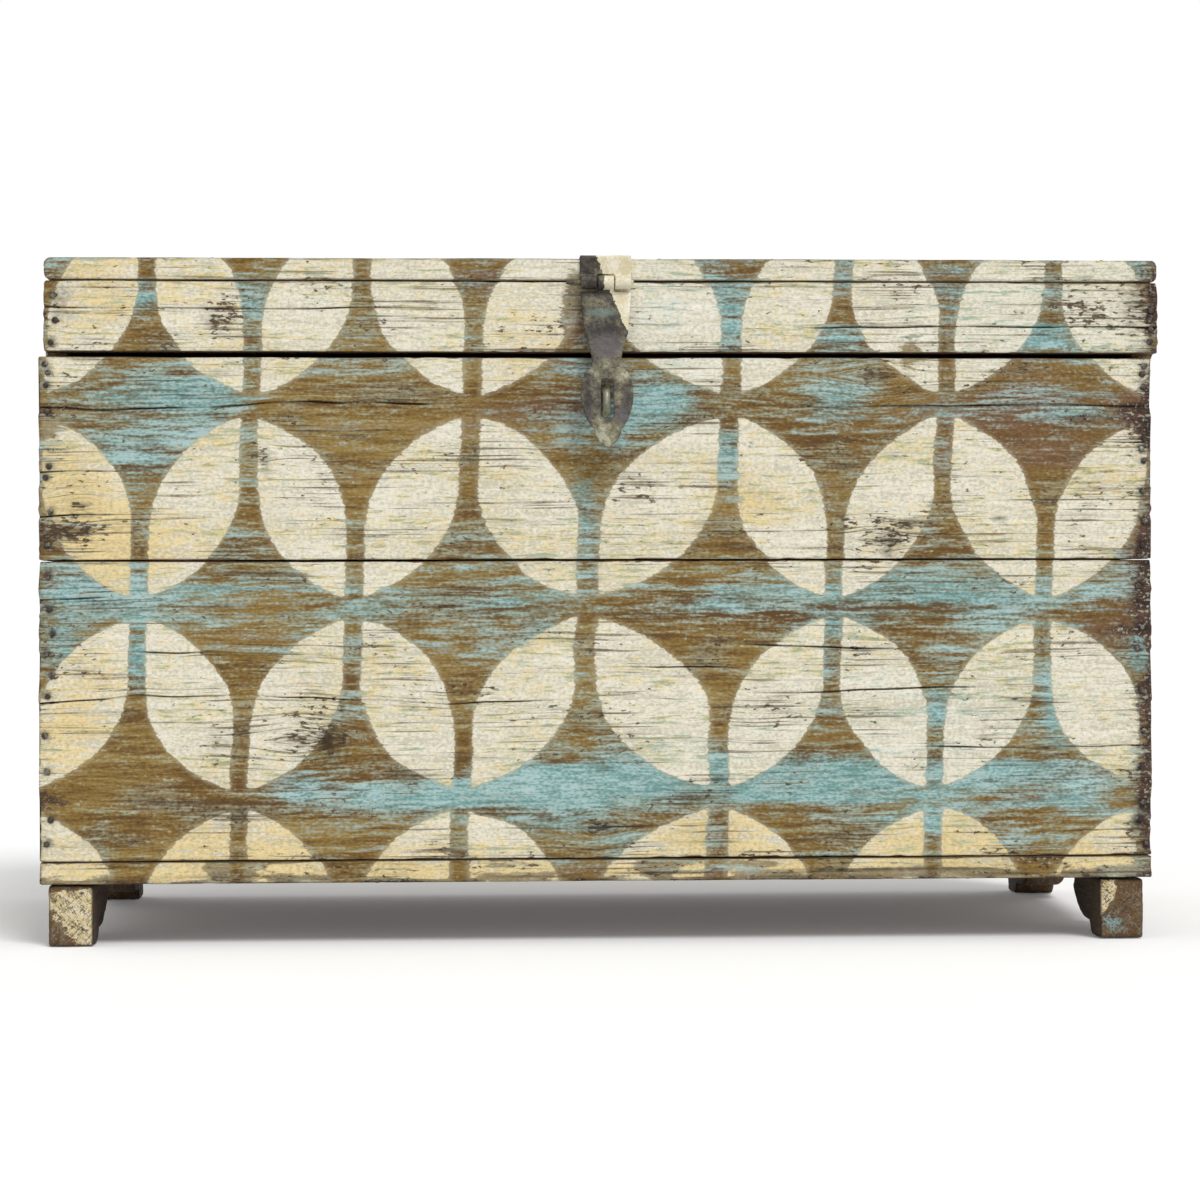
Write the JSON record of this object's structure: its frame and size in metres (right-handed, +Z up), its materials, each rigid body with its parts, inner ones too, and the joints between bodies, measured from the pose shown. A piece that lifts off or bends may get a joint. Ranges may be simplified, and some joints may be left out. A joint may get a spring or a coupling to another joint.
{
  "type": "painted trunk",
  "caption": "Low plank trunk on bracket feet: nailed boards with worn petal-lattice paint, a shallow hinged lid and a forged hasp over a staple.",
  "frame": {"origin": "centre of the bounding box at floor level", "axes": "+X along the trunk's width to the right, +Y to the back where the hinges are, +Z up; the hasp is on the front, -Y"},
  "size_m": [1.0225, 0.5255, 0.6281],
  "materials": {
    "painted_walls": "chalky cream, turquoise and brown paint, worn along the grain",
    "worn_back": "thin brown paint over turquoise, plain, worn",
    "bare_planks": "bare aged softwood",
    "painted_lid": "chalky cream, turquoise and brown paint, worn along the grain",
    "painted_feet": "cream and brown paint, rubbed through",
    "forged_hasp": "forged iron with brown patina and traces of paint",
    "hinge_iron": "dark forged iron",
    "nail_iron": "dark, rust-stained nail iron"
  },
  "bodies": {
    "chest": {"front_board_lower": "painted_walls", "front_board_upper": "painted_walls", "back_board_lower": "worn_back", "back_board_upper": "worn_back", "left_end_board_lower": "painted_walls", "left_end_board_upper": "painted_walls", "right_end_board_lower": "painted_walls", "right_end_board_upper": "painted_walls", "floor_plank_front": "bare_planks", "floor_plank_middle": "bare_planks", "floor_plank_rear": "bare_planks", "foot_front_left": "painted_feet", "foot_front_right": "painted_feet", "foot_rear_left": "painted_feet", "foot_rear_right": "painted_feet", "hasp_staple": "forged_hasp", "hinge_body_leaf_left": "hinge_iron", "hinge_body_leaf_right": "hinge_iron", "hinge_pin_left": "hinge_iron", "hinge_pin_right": "hinge_iron", "front_nails": "nail_iron", "back_nails": "nail_iron", "floor_nails": "nail_iron", "foot_nails": "nail_iron", "hinge_body_nails": "nail_iron"},
    "lid": {"lid_front_rail": "painted_lid", "lid_back_rail": "painted_lid", "lid_left_rail": "painted_lid", "lid_right_rail": "painted_lid", "lid_plank_front": "painted_lid", "lid_plank_middle": "painted_lid", "lid_plank_rear": "painted_lid", "lid_batten_left": "bare_planks", "lid_batten_right": "bare_planks", "hinge_lid_leaf_left": "hinge_iron", "hinge_lid_leaf_right": "hinge_iron", "hasp_leaf": "forged_hasp", "hasp_pin": "forged_hasp", "lid_front_nails": "nail_iron", "lid_back_nails": "nail_iron", "lid_top_nails": "nail_iron", "lid_batten_nails": "nail_iron", "hinge_lid_nails": "nail_iron", "hasp_leaf_nails": "nail_iron"},
    "hasp": {"hasp_strap": "forged_hasp"}
  },
  "joints": [
    {"name": "lid_hinge", "type": "hinge", "parent": "chest", "child": "lid", "pos_m": [0, 0.2497, 0.534], "axis": [-1, 0, 0], "range_deg": [0, 105]},
    {"name": "hasp_hinge", "type": "hinge", "parent": "lid", "child": "hasp", "pos_m": [0.0055, -0.2337, 0.601], "axis": [-1, 0, 0], "range_deg": [-12, 182]}
  ]
}
